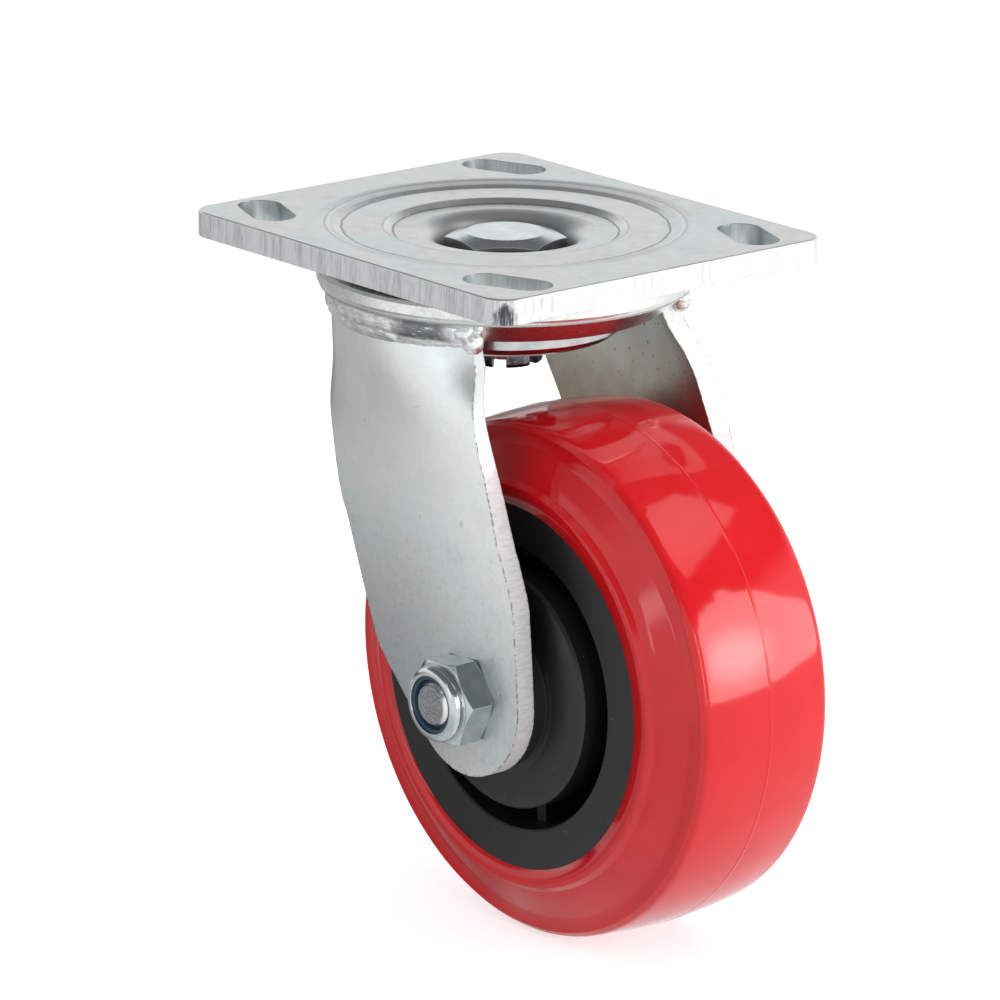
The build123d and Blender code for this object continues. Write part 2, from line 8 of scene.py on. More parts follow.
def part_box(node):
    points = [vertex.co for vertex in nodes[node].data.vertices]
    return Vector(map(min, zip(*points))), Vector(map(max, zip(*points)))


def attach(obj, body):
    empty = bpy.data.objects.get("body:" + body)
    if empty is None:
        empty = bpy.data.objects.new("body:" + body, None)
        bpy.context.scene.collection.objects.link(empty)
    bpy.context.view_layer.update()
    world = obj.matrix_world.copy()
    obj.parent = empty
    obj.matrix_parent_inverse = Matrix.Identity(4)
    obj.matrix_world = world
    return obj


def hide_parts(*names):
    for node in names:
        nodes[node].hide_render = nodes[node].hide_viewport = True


# Swivel castor: the looks of the zinc plated steel, the weld beads, the moulded core and
# the cast tread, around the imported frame. Metres, +Z up, the origin on the plate's top.
# Materials and sections are written in millimetres.
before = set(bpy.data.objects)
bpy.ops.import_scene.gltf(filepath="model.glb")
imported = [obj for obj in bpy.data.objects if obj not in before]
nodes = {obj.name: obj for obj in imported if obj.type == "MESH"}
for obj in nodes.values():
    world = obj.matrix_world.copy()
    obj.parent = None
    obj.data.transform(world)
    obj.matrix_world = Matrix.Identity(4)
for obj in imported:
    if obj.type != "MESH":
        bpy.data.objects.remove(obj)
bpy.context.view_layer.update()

MM = 0.001

# ---- places read from the frame ----

PLATE_LOW, PLATE_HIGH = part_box("top_plate")
TREAD_LOW, TREAD_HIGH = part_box("tread")

PLATE_HALF_LENGTH = PLATE_HIGH.x / MM
PLATE_HALF_WIDTH = PLATE_HIGH.y / MM
PLATE_FRONT = PLATE_LOW.y / MM
AXLE = (TREAD_LOW + TREAD_HIGH) / 2
TREAD_RADIUS = (TREAD_HIGH.z - TREAD_LOW.z) / 2 / MM
TREAD_HALF_WIDTH = (TREAD_HIGH.y - TREAD_LOW.y) / 2 / MM
FLOOR_HEIGHT = TREAD_LOW.z


# ---- shader writing ----


class Wire:
    """An output socket. Arithmetic on it adds Math nodes to its shader."""

    def __init__(self, shader, socket):
        self.shader = shader
        self.socket = socket

    def maths(self, operation, *others):
        settings = {"operation": operation}
        return self.shader.node("Math", settings, dict(enumerate((self, *others))))

    def flipped(self, operation, other):
        return self.shader.node("Math", {"operation": operation}, {0: other, 1: self})

    def __add__(self, other):
        return self.maths("ADD", other)

    def __radd__(self, other):
        return self.flipped("ADD", other)

    def __sub__(self, other):
        return self.maths("SUBTRACT", other)

    def __rsub__(self, other):
        return self.flipped("SUBTRACT", other)

    def __mul__(self, other):
        return self.maths("MULTIPLY", other)

    def __rmul__(self, other):
        return self.flipped("MULTIPLY", other)

    def __truediv__(self, other):
        return self.maths("DIVIDE", other)

    def __pow__(self, other):
        return self.maths("POWER", other)

    def __abs__(self):
        return self.maths("ABSOLUTE")

    def most(self, other):
        return self.maths("MAXIMUM", other)

    def least(self, other):
        return self.maths("MINIMUM", other)

    def between(self, low, high):
        """0 below low, 1 above high, smooth in between. High may be the lower one."""
        if high < low:
            return 1 - self.between(high, low)
        settings = {"interpolation_type": "SMOOTHSTEP"}
        inputs = {"Value": self, "From Min": low, "From Max": high}
        return self.shader.node("MapRange", settings, inputs)

    def within(self, centre, half, soft):
        """1 where the value is within half of the centre, fading out over soft."""
        return abs(self - centre).between(half + soft, half)


class Shader:
    """The nodes of one material, of a lamp or of the world."""

    def __init__(self, owner):
        owner.use_nodes = True
        self.owner = owner
        self.tree = owner.node_tree
        self.tree.nodes.clear()

    def node(self, kind, settings=None, inputs=None, output=0):
        """Adds a node: its settings first, then what each socket takes, a value or a wire."""
        made = self.tree.nodes.new("ShaderNode" + kind)
        for key, value in (settings or {}).items():
            setattr(made, key, value)
        for key, value in (inputs or {}).items():
            if isinstance(value, Wire):
                self.tree.links.new(value.socket, made.inputs[key])
            else:
                made.inputs[key].default_value = value
        return Wire(self, made.outputs[output]) if made.outputs else None

    def place(self):
        """Where the surface is, in millimetres in the row frame at rest."""
        metres = self.node("TexCoord", output="Object")
        return self.node("VectorMath", {"operation": "SCALE"}, {0: metres, "Scale": 1 / MM})

    def parts_of(self, vector):
        split = self.node("SeparateXYZ", inputs={0: vector})
        outputs = split.socket.node.outputs
        return [Wire(self, outputs[axis]) for axis in range(3)]

    def vector(self, first, second, third=0.0):
        return self.node("CombineXYZ", None, {0: first, 1: second, 2: third})

    def turned_normal(self, vector, start, end):
        settings = {"vector_type": "NORMAL", "convert_from": start, "convert_to": end}
        return self.node("VectorTransform", settings, {0: vector})

    def facing(self):
        """The parts of the surface's own normal, before any bump."""
        normal = self.node("NewGeometry", output="Normal")
        return self.parts_of(self.turned_normal(normal, "WORLD", "OBJECT"))

    def stretched(self, vector, scales):
        return self.node("VectorMath", {"operation": "MULTIPLY"}, {0: vector, 1: scales})

    def moved(self, vector, shift):
        return self.node("VectorMath", {"operation": "ADD"}, {0: vector, 1: shift})

    def grain(self, vector, size, detail=2.0, roughness=0.5, twist=0.0):
        """Noise from 0 to 1 whose lumps are about this size, in millimetres."""
        inputs = {"Vector": vector, "Scale": 1 / size, "Detail": detail}
        inputs.update({"Roughness": roughness, "Distortion": twist})
        return self.node("TexNoise", None, inputs)

    def cells(self, vector, size):
        """Distance to the nearest of scattered points, about this far apart."""
        return self.node("TexVoronoi", None, {"Vector": vector, "Scale": 1 / size})

    def mix(self, share, first, second):
        """Colour between the first, at share 0, and the second."""
        return self.node("Mix", {"data_type": "RGBA"}, {0: share, 6: first, 7: second}, output=2)

    def mix_vectors(self, share, first, second):
        inputs = {0: share, 4: first, 5: second}
        return self.node("Mix", {"data_type": "VECTOR"}, inputs, output=1)

    def bump(self, height, normal=None):
        """Relief from a height in millimetres."""
        inputs = {"Height": height, "Distance": MM}
        if normal is not None:
            inputs["Normal"] = normal
        return self.node("Bump", None, inputs)

    def rounded(self, radius):
        """Normal that rounds sharp edges to this radius in millimetres."""
        return self.node("Bevel", {"samples": 6}, {"Radius": radius * MM})

    def corners(self, width):
        """1 along sharp edges, fading out over about this many millimetres."""
        straight = self.node("NewGeometry", output="Normal")
        inputs = {0: straight, 1: self.rounded(width)}
        turned = self.node("VectorMath", {"operation": "DOT_PRODUCT"}, inputs, 1)
        return turned.between(0.995, 0.93)

    def ray_is(self, kind):
        return self.node("LightPath", output=f"Is {kind} Ray")

    def finish(self, base, metallic, roughness, normal=None, others=None):
        """Closes a material with one surface, and hands the material back."""
        inputs = {"Base Color": base, "Metallic": metallic, "Roughness": roughness}
        if normal is not None:
            inputs["Normal"] = normal
        inputs.update(others or {})
        surface = self.node("BsdfPrincipled", None, inputs)
        self.node("OutputMaterial", None, {"Surface": surface})
        return self.owner


def new_shader(name):
    return Shader(bpy.data.materials.new(name))


def distance(first, second):
    """Length of a flat vector from its two parts."""
    return (first * first + second * second).maths("SQRT")


def colour(red, green, blue):
    return (red, green, blue, 1.0)


# ---- finishes ----

ZINC_COOL = colour(0.775, 0.835, 0.835)
ZINC_WARM = colour(0.83, 0.83, 0.795)
ZINC_BRIGHT = colour(0.89, 0.90, 0.905)
ZINC_DULL = colour(0.50, 0.52, 0.53)
ZINC_NUT = colour(0.50, 0.56, 0.575)
ZINC_PIN = colour(0.58, 0.63, 0.63)
STAIN = colour(0.52, 0.54, 0.50)
RING_STAIN = colour(0.42, 0.45, 0.42)
LOW_LEG_SHADE_GREY = colour(0.44, 0.475, 0.485)
STEP_SHADE_TONE = colour(0.06, 0.062, 0.064)
STEP_HIGHLIGHT_TONE = colour(0.96, 0.97, 0.975)
SLOT_LIP_SHADE_TONE = colour(0.12, 0.13, 0.135)
SLOT_WALL_SHADE_BLUE = colour(0.30, 0.36, 0.40)
SHEARED_DARK = colour(0.54, 0.55, 0.56)
SHEARED_PALE = colour(0.81, 0.815, 0.82)
TORN_METAL = colour(0.09, 0.10, 0.115)
INNER_SHADE_BROWN = colour(0.33, 0.245, 0.17)
INNER_SHADE_GREY = colour(0.52, 0.55, 0.51)
SPATTER_TONE = colour(0.07, 0.06, 0.05)
HEAT_BROWN = colour(0.30, 0.23, 0.19)
CUT_DARK = colour(0.74, 0.745, 0.75)
CUT_PALE = colour(0.86, 0.86, 0.86)
BURR_TONE = colour(0.11, 0.115, 0.12)
RIM_SHADE_TONE = colour(0.16, 0.165, 0.16)
GUNMETAL = colour(0.045, 0.048, 0.055)
GUNMETAL_WORN = colour(0.16, 0.17, 0.18)
BARE_STEEL = colour(0.20, 0.19, 0.17)
GREASE_AND_SHADE = colour(0.030, 0.024, 0.012)
CORE_BLACK = colour(0.0085, 0.0085, 0.0095)
DUST_GREY = colour(0.35, 0.34, 0.33)
RED_DEEP = colour(0.72, 0.009, 0.014)
RED_BRIGHT = colour(0.77, 0.012, 0.018)
INSERT_BLUE = colour(0.020, 0.055, 0.10)
CAGE_CREAM = colour(0.62, 0.60, 0.52)
SAWN_GREY = colour(0.20, 0.21, 0.215)
WELD_GREY = colour(0.55, 0.57, 0.57)
WELD_SHADE_TONE = colour(0.07, 0.075, 0.08)


def zinc_tint(shader, place, patch=26.0):
    """Clouds of the faint blue and straw tints of bright zinc."""
    clouds = shader.grain(place, patch, 3.0, 0.55)
    small = shader.grain(shader.moved(place, (31, 7, 3)), patch / 6, 3.0, 0.6)
    return shader.mix((clouds * 0.7 + small * 0.3).between(0.36, 0.62), ZINC_COOL, ZINC_WARM)


def scratches(shader, place, length, width, turn, seed, amount):
    """Sparse fine scratches along one direction, 1 on a scratch."""
    settings = {"rotation_type": "AXIS_ANGLE"}
    inputs = {"Vector": place, "Axis": turn[0], "Angle": turn[1]}
    turned = shader.moved(shader.node("VectorRotate", settings, inputs), seed)
    lines = shader.grain(shader.stretched(turned, (1 / length, 1 / width, 1 / length)), 1.0, 1.0)
    return lines.between(1 - amount, 1 - amount + 0.05)


def pits(shader, place, size, seed, share):
    """Small round pits scattered over a share of the surface, 1 in a pit."""
    spots = shader.cells(shader.moved(place, seed), size)
    return spots.between(share, share * 0.5)


def rings(reach, bands):
    """Sum of soft rings, each given by its radius, half width, softness and strength."""
    total = 0.0
    for radius, half, soft, strength in bands:
        total = reach.within(radius, half, soft) * strength + total
    return total


# The plate, by the distance from the pin's axis and the height: where its outer edge
# begins as a share of its half sizes, the slots, the rings of painted shade and of painted
# highlight along the steps of the pressing, the bowl's painted shade, the skin drawn down
# round the pressing, and the torn corner's insets and depth.
PLATE_RIM = (0.955, 0.965)
SLOT_REACH = (45.0, 47.0)
STEP_SHADE_RINGS = (
    (38.6, 0.12, 0.30, 0.60),
    (26.6, 0.10, 0.28, 0.65),
    (42.6, 0.05, 0.30, 0.30),
    (28.9, 0.05, 0.25, 0.30),
)
STEP_HIGHLIGHT_RINGS = ((41.7, 0.10, 0.16, 1.0), (28.35, 0.08, 0.14, 1.0))
BOWL_REACH = (21.0, 17.0)
BOWL_HEIGHT = (-2.6, -5.6)
DRAWN_BORDERS = ((41.4, 47.5), (40.0, 41.8))
DRAWN_DEPTH = 0.55
TORN_INSETS = (1.6, 2.6)
TORN_HEIGHT = 3.4
TORN_REACH = (4.6, 3.0)


def plate_zinc():
    """Plated hot rolled plate: a stained face, painted shade and painted highlights along the
    pressing, bright sheared edges.
    """
    shader = new_shader("plate_zinc")
    place = shader.place()
    x, y, z = shader.parts_of(place)
    reach = distance(x, y)
    side = abs(shader.facing()[2]).between(0.55, 0.3)
    outside = (abs(x) / PLATE_HALF_LENGTH).most(abs(y) / PLATE_HALF_WIDTH).between(*PLATE_RIM)
    edge = side * outside
    by_slots = (1 - outside) * reach.between(*SLOT_REACH)
    slot = side * by_slots
    # streaks left by the shear run through the thickness
    along = shader.stretched(place, (1.0, 1.0, 0.10))
    streaks = shader.grain(along, 0.5, 4.0, 0.65)
    coarse = shader.grain(along, 1.9, 2.0, 0.5)
    torn = shader.grain(place, 0.5, 3.0, 0.7)
    fine = shader.grain(place, 0.42, 4.0, 0.65)
    soft = shader.grain(place, 3.2, 3.0, 0.5)
    stains = shader.grain(place, 7.0, 5.0, 0.62, 0.6)
    base = zinc_tint(shader, place)
    base = shader.mix(stains.between(0.50, 0.68) * 0.20, base, STAIN)
    worn = (fine * 0.6 + soft * 0.4).between(0.52, 0.70)
    base = shader.mix(worn * 0.22, base, ZINC_DULL)
    # painted shade along each step of the pressing, and painted shade deep in the bowl beside the
    # pin
    ragged = reach + (soft - 0.5) * 0.7
    bowl = reach.between(*BOWL_REACH) * z.between(*BOWL_HEIGHT) * 0.86
    painted_step_shade = (rings(ragged, STEP_SHADE_RINGS) + bowl).least(0.9)
    base = shader.mix(painted_step_shade, base, STEP_SHADE_TONE)
    # painted highlight: thin bright lines along the crests of the steps
    painted_step_highlight = rings(reach, STEP_HIGHLIGHT_RINGS).least(1.0)
    base = shader.mix(painted_step_highlight * 0.75, base, STEP_HIGHLIGHT_TONE)
    # painted shade: dark lines along the lips of the slots
    slot_lip_shade = shader.corners(0.5) * by_slots
    base = shader.mix(slot_lip_shade * 0.60, base, SLOT_LIP_SHADE_TONE)
    sheared = (streaks * 0.6 + coarse * 0.4).between(0.34, 0.58)
    base = shader.mix(edge, base, shader.mix(sheared, SHEARED_DARK, SHEARED_PALE))
    # painted shade inside the slots: their walls streaked towards a dark blue grey
    base = shader.mix(slot * (streaks * 0.9 - 0.05), base, SLOT_WALL_SHADE_BLUE)
    # one front corner was torn and stayed dark
    corner_x = x - PLATE_HALF_LENGTH + TORN_INSETS[0]
    corner_y = y - PLATE_FRONT - TORN_INSETS[1]
    corner = distance(corner_x, corner_y) + (z + TORN_HEIGHT).most(0.0) * 0.9 + torn * 2.4
    dark = edge * corner.between(*TORN_REACH)
    base = shader.mix(dark * streaks.between(0.34, 0.56), base, TORN_METAL)
    spots = pits(shader, place, 8.5, (6, 2, 3), 0.035) * (1 - side)
    base = shader.mix(spots * 0.55, base, ZINC_DULL)
    long_marks = scratches(shader, place, 20.0, 0.16, ((0, 0, 1), 0.9), (3, 5, 9), 0.30)
    cross_marks = scratches(shader, place, 14.0, 0.13, ((0, 0, 1), -0.5), (8, 1, 4), 0.29)
    marks = (long_marks + cross_marks) * 0.5
    height = fine * 0.022 + soft * 0.05 - marks * 0.008 - spots * 0.03
    height = height + edge * (streaks * 0.12 + coarse * 0.08 + torn * 0.03) + dark * torn * 0.15
    # the face is drawn down a little round the pressing
    outer, inner = DRAWN_BORDERS
    drawn = (1 - reach.between(*outer)) * reach.between(*inner)
    height = height - drawn * drawn * DRAWN_DEPTH
    rough = 0.25 + fine * 0.10 + soft * 0.10 + edge * 0.16 + dark * 0.1
    rough = rough + marks * 0.05 + bowl * 0.1
    metallic = 1 - edge * (1 - dark) * 0.5
    return shader.finish(base, metallic, rough, shader.bump(height, shader.rounded(0.30)))


# The leg, by height unless said otherwise: where its cut edge starts, the part of its
# inner face with painted shade, the spatter on it, the part with denser flecks and painted
# shade and where that shade ends above the foot, the rear border that stayed brown, and
# where the face turns flat.
LEG_TOP = (-17.0, -19.0)
INNER_SIDE = (-8.0, -20.0)
INNER_SHADE_HEIGHTS = (-62.0, -22.0)
SPATTERED = (-52.0, -22.0)
FLECKS_AND_SHADE = (-52.0, -100.0)
ABOVE_FOOT = (-136.0, -104.0)
REAR_BORDER_X = (-18.5, -22.5)
REAR_BORDER = (-62.0, -36.0)
BURRED = (-19.0, -24.0)
FLAT_FACE = (-40.0, -58.0)
CROWNING = 0.0030


def leg_zinc():
    """Plated leg sheet: a mottled rolled face and a brushed looking cut edge."""
    shader = new_shader("leg_zinc")
    place = shader.place()
    x, y, z = shader.parts_of(place)
    sideways = shader.facing()[1]
    cut = abs(sideways).between(0.22, 0.12) * z.between(*LEG_TOP)
    streaks = shader.grain(shader.stretched(place, (1.0, 0.16, 1.0)), 0.5, 4.0, 0.6)
    torn = shader.grain(place, 0.9, 3.0, 0.65)
    base = zinc_tint(shader, place, 30.0)
    fine = shader.grain(place, 0.42, 4.0, 0.65)
    soft = shader.grain(place, 1.9, 3.0, 0.6)
    clouds = shader.grain(place, 9.0, 4.0, 0.6)
    wide = shader.grain(place, 16.0, 2.0, 0.5)
    # painted shade on the inner faces, brown grey and darker towards the bottom
    inner = (y * sideways).between(*INNER_SIDE)
    lighter_inside = z.between(*INNER_SHADE_HEIGHTS) * 0.8 + clouds.between(0.35, 0.65) * 0.2
    inner_shade_and_spatter = shader.mix(lighter_inside, INNER_SHADE_BROWN, INNER_SHADE_GREY)
    spatter = pits(shader, place, 2.4, (3, 3, 3), 0.22) * z.between(*SPATTERED)
    inner_shade_and_spatter = shader.mix(spatter * 0.8, inner_shade_and_spatter, SPATTER_TONE)
    base = shader.mix(inner, base, inner_shade_and_spatter)
    # dull flecks of the coating, denser towards the foot, then painted shade greying the lower leg
    # above the foot
    low = z.between(*FLECKS_AND_SHADE)
    flecks = (fine * 0.6 + soft * 0.4).between(0.48, 0.64) * (0.14 + low * 0.60)
    flecks = (flecks + clouds.between(0.45, 0.75) * 0.14).least(1.0)
    base = shader.mix(flecks, base, ZINC_DULL)
    low_leg_shade = low * z.between(*ABOVE_FOOT) * 0.70 * (1 - inner)
    base = shader.mix(low_leg_shade, base, LOW_LEG_SHADE_GREY)
    # the rear border of the roll stayed brown from the heat of the weld
    rear = x.between(*REAR_BORDER_X) * z.between(*REAR_BORDER) * (1 - inner)
    base = shader.mix(rear * 0.55, base, HEAT_BROWN)
    # dents and scrapes from handling
    marks = scratches(shader, place, 9.0, 0.22, ((0, 1, 0), 0.75), (2, 8, 5), 0.29)
    marks = marks * shader.grain(place, 14.0).between(0.50, 0.58)
    spots = pits(shader, place, 7.5, (4, 1, 2), 0.06)
    brushed = streaks.between(0.36, 0.60)
    base = shader.mix(cut, base, shader.mix(brushed, CUT_DARK, CUT_PALE))
    base = shader.mix((marks * 0.45 + spots * 0.5).least(1.0), base, ZINC_DULL)
    # ragged burr left along the outer corner of the cut
    ragged = shader.grain(place, 1.3, 4.0, 0.75).between(0.47, 0.57)
    burr = shader.corners(0.75) * ragged * z.between(*BURRED)
    base = shader.mix(burr * 0.85, base, BURR_TONE)
    height = fine * 0.020 + soft * 0.045 + wide * 0.12 - marks * 0.03 - spots * 0.05
    height = height + cut * (streaks * 0.025 + torn * 0.04) - burr * 0.12
    # the sheet is a little crowned from edge to edge
    middle = 2.0 - (z + 20.0) * 0.25
    height = height - (x - middle) ** 2 * CROWNING * (1 - cut)
    rough = 0.29 + fine * 0.10 + soft * 0.08 + cut * 0.22 + burr * 0.1
    # below the roll the face is truly flat. The small first part keeps the vector from
    # vanishing on the cut edge.
    flat = abs(sideways).between(0.90, 0.96) * z.between(*FLAT_FACE)
    straight = shader.vector(0.001, sideways.maths("SIGN"))
    straight = shader.turned_normal(straight, "OBJECT", "WORLD")
    smooth = shader.mix_vectors(flat, shader.rounded(0.4), straight)
    return shader.finish(base, 1 - cut * 0.92, rough, shader.bump(height, smooth))


RIM_SHADE_HEIGHT = -13.9
RING_RIM_REACH = (43.0, 44.0)


def ring_zinc():
    """Plated yoke ring: faint bands of its turning under a dull, mottled coat."""
    shader = new_shader("ring_zinc")
    place = shader.place()
    x, y, z = shader.parts_of(place)
    reach = distance(x, y)
    turning = shader.grain(shader.vector(reach, z), 0.35, 2.0, 0.6)
    fine = shader.grain(place, 0.45, 4.0, 0.65)
    soft = shader.grain(place, 2.6, 4.0, 0.6)
    base = zinc_tint(shader, place, 14.0)
    mottle = (fine * 0.5 + soft * 0.5).between(0.46, 0.62)
    base = shader.mix(mottle * 0.38, base, RING_STAIN)
    # painted shade: a dark band round the foot of the rim, above a crisp line
    rim_shade = (z + (soft - 0.5) * 0.5).within(RIM_SHADE_HEIGHT, 0.15, 0.35)
    rim_shade = rim_shade * reach.between(*RING_RIM_REACH)
    base = shader.mix(rim_shade * 0.55, base, RIM_SHADE_TONE)
    height = turning * 0.03 + fine * 0.030 + soft * 0.07
    rough = 0.20 + fine * 0.10 + soft * 0.08 + mottle * 0.06
    return shader.finish(base, 1.0, rough, shader.bump(height, shader.rounded(0.3)))


def plain_zinc(name, base, roughness, grain_size=0.5, relief=0.015, edge_round=0.25):
    """Bright zinc on a small turned or pressed piece."""
    shader = new_shader(name)
    place = shader.place()
    clouds = shader.grain(place, 5.0, 3.0, 0.6)
    fine = shader.grain(place, grain_size, 3.0, 0.6)
    toned = shader.mix(clouds.between(0.35, 0.75) * 0.5, base, ZINC_WARM)
    normal = shader.bump(fine * relief + clouds * 0.03, shader.rounded(edge_round))
    return shader.finish(toned, 1.0, roughness + fine * 0.1, normal)


def dark_nut():
    """Castle nut: gunmetal dark, a little oily."""
    shader = new_shader("nut_dark")
    place = shader.place()
    film = shader.grain(place, 2.0, 4.0, 0.6)
    fine = shader.grain(place, 0.5, 3.0, 0.6)
    base = shader.mix(film.between(0.38, 0.62), GUNMETAL, GUNMETAL_WORN)
    normal = shader.bump(film * 0.08 + fine * 0.02, shader.rounded(0.35))
    return shader.finish(base, 1.0, 0.16 + fine * 0.12, normal)


def greased_steel_in_shade():
    """Balls and race under old grease, whose near black tone also serves as painted shade in the
    slit under the plate.
    """
    shader = new_shader("greased_steel_in_shade")
    film = shader.grain(shader.place(), 1.4, 3.0, 0.6).between(0.40, 0.60)
    base = shader.mix(film, BARE_STEEL, GREASE_AND_SHADE)
    return shader.finish(base, 1 - film, 0.18 + film * 0.22)


def moulded_black():
    """Satin black moulded core with a little dust and rub."""
    shader = new_shader("moulded_black")
    place = shader.place()
    fine = shader.grain(place, 0.30, 2.0, 0.6)
    flow = shader.grain(place, 9.0, 3.0, 0.5)
    dust = pits(shader, place, 5.2, (7, 3, 1), 0.045)
    rub = scratches(shader, place, 7.0, 0.14, ((0, 1, 0), 0.4), (1, 6, 2), 0.27)
    grey = (dust * 0.30 + rub * 0.07).least(1.0)
    base = shader.mix(grey, CORE_BLACK, DUST_GREY)
    normal = shader.bump(fine * 0.008 + flow * 0.08, shader.rounded(0.25))
    return shader.finish(base, 0.0, 0.36 + fine * 0.10 + flow * 0.10, normal)


def cast_red():
    """Clear glossy cast polyurethane, deep red."""
    shader = new_shader("cast_red")
    place = shader.place()
    flow = shader.grain(place, 13.0, 2.0, 0.5)
    fine = shader.grain(place, 2.2, 3.0, 0.55)
    bubbles = pits(shader, place, 9.0, (2, 2, 7), 0.045)
    base = shader.mix(flow.between(0.3, 0.7), RED_DEEP, RED_BRIGHT)
    clear = {
        "IOR": 1.5,
        "Subsurface Weight": 0.12,
        "Subsurface Radius": (1.0, 0.12, 0.08),
        "Subsurface Scale": 1.5 * MM,
    }
    normal = shader.bump(fine * 0.005 + bubbles * 0.05)
    return shader.finish(base, 0.0, 0.065 + fine * 0.05, normal, clear)


def nylon(name, base):
    """Plain moulded nylon."""
    shader = new_shader(name)
    fine = shader.grain(shader.place(), 0.4, 2.0)
    normal = shader.bump(fine * 0.01, shader.rounded(0.15))
    return shader.finish(base, 0.0, 0.32 + fine * 0.1, normal)


SAWN_REACH = (4.9, 4.3)
SAWN_SIDE = (-40.0, -45.0)


def bolt_zinc():
    """Axle bolt: bright zinc, its sawn end coarse inside a turned chamfer."""
    shader = new_shader("bolt_zinc")
    place = shader.place()
    x, y, z = shader.parts_of(place)
    from_axis = distance(x - AXLE.x / MM, z - AXLE.z / MM)
    sawn = from_axis.between(*SAWN_REACH) * y.between(*SAWN_SIDE)
    crystals = shader.grain(place, 0.35, 3.0, 0.7)
    clouds = shader.grain(place, 4.0, 3.0, 0.6)
    base = shader.mix(clouds.between(0.35, 0.65), ZINC_COOL, ZINC_WARM)
    coarse = sawn * (0.55 + crystals.between(0.35, 0.62) * 0.4)
    base = shader.mix(coarse, base, SAWN_GREY)
    rough = 0.18 + crystals * 0.08 + sawn * 0.22
    height = crystals * 0.012 + sawn * crystals * 0.16 + clouds * 0.02
    return shader.finish(base, 1.0, rough, shader.bump(height, shader.rounded(0.25)))


# where a painted shadow darkens the bead towards its front: along x from and to, and up to a height
FRONT_SHADOW_START = (7.0, 13.0)
FRONT_SHADOW_END = (24.5, 20.0)
FRONT_SHADOW_HEIGHT = (-19.6, -18.2)


def weld_zinc():
    """Weld metal under zinc: folded and streaky, with painted shade in the hollows of its relief
    and a painted shadow near its front.
    """
    shader = new_shader("weld_zinc")
    place = shader.place()
    x, _, z = shader.parts_of(place)
    lumps = shader.grain(place, 2.4, 5.0, 0.62)
    fine = shader.grain(place, 0.45, 3.0, 0.6)
    streaks = shader.grain(shader.stretched(place, (0.35, 0.35, 1.6)), 1.0, 4.0, 0.65, 0.8)
    # painted shade in the deepest hollows of the bead's relief
    hollow_shade = (lumps * 0.5 + streaks * 0.5).between(0.42, 0.34) * 0.55
    # painted shadow on the upper bead towards its front
    front_shadow = x.between(*FRONT_SHADOW_START) * x.between(*FRONT_SHADOW_END) * z.between(*FRONT_SHADOW_HEIGHT)
    front_shadow = front_shadow * streaks.between(0.30, 0.48)
    # grey in the relief's hollows, bright on its crests: the weld's own streaky tone, partly
    # painted shade and highlight
    folds = (streaks * 0.6 + lumps * 0.4).between(0.36, 0.60)
    base = shader.mix(folds, WELD_GREY, ZINC_BRIGHT)
    base = shader.mix((hollow_shade + front_shadow * 0.85).least(0.9), base, WELD_SHADE_TONE)
    normal = shader.bump(lumps * 0.14 + streaks * 0.12 + fine * 0.03)
    return shader.finish(base, 1.0, 0.26 + fine * 0.14 + hollow_shade * 0.1, normal)


# ---- pieces ----


def new_object(name, mesh, body, material):
    made = bpy.data.objects.new(name, mesh)
    bpy.context.scene.collection.objects.link(made)
    mesh.materials.append(material)
    for face in mesh.polygons:
        face.use_smooth = True
    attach(made, body)
    return made


def write_mesh(solid, mesh):
    """Puts an edited solid into a mesh with all its faces turned outwards."""
    bmesh.ops.recalc_face_normals(solid, faces=solid.faces)
    solid.to_mesh(mesh)
    solid.free()


def mesh_from(points, faces, name):
    mesh = bpy.data.meshes.new(name)
    mesh.from_pydata(points, [], faces)
    solid = bmesh.new()
    solid.from_mesh(mesh)
    write_mesh(solid, mesh)
    mesh.update()
    return mesh


def grid_faces(rows, columns, close_rows=False, close_columns=False):
    """Quads of a grid whose points are listed row by row."""
    faces = []
    for row in range(rows if close_rows else rows - 1):
        here, after = row * columns, (row + 1) % rows * columns
        for column in range(columns if close_columns else columns - 1):
            beside = (column + 1) % columns
            faces.append((here + column, here + beside, after + beside, after + column))
    return faces


def section_with_rounds(corners):
    """Outline through corners given as (first, second, radius), each one rounded."""
    outline = []
    count = len(corners)
    for index, (first, second, radius) in enumerate(corners):
        if radius == 0:
            outline.append((first, second))
            continue
        here = Vector((first, second))
        back = (Vector(corners[index - 1][:2]) - here).normalized()
        ahead = (Vector(corners[(index + 1) % count][:2]) - here).normalized()
        half = acos(max(-1.0, min(1.0, back.dot(ahead)))) / 2
        centre = here + (back + ahead).normalized() * (radius / sin(half))
        setback = radius * cos(half) / sin(half)
        start = here + back * setback - centre
        sweep = start.angle_signed(here + ahead * setback - centre)
        steps = max(3, ceil(abs(sweep) / radians(12)))
        for step in range(steps + 1):
            turned = Matrix.Rotation(-sweep * step / steps, 2) @ start
            outline.append(tuple(centre + turned))
    return outline


def bell(offset, width):
    return exp(-((offset / width) ** 2))


# the tread's section, from the parting line out to the bond
TREAD_TURNS = 480
CROWN_DROP = 1.4
CROWN_HALF = 18.6
CROWN_RISE = 0.9
CROWN_STEPS = 14
SHOULDER_ROUND = 2.2
SHOULDER_DROP = 3.2
SIDE_INSET = 1.5
SIDE_STEPS = 8
SIDE_FOOT = 1.5
STEP_RADIUS = 48.4
STEP_ROUND = 0.5
BOND_RADIUS = 43.95
# a fine lip where the mould's side and tread surfaces meet: place along the side, height
TREAD_LIP = ((-0.55, 0.0), (-0.38, 0.05), (-0.2, 0.17), (0.0, 0.20), (0.18, 0.12))
PARTING_STEPS = (0.14, 0.28, 0.45, 0.7)
PARTING_HEIGHT = 0.14
PARTING_HALF = 0.22
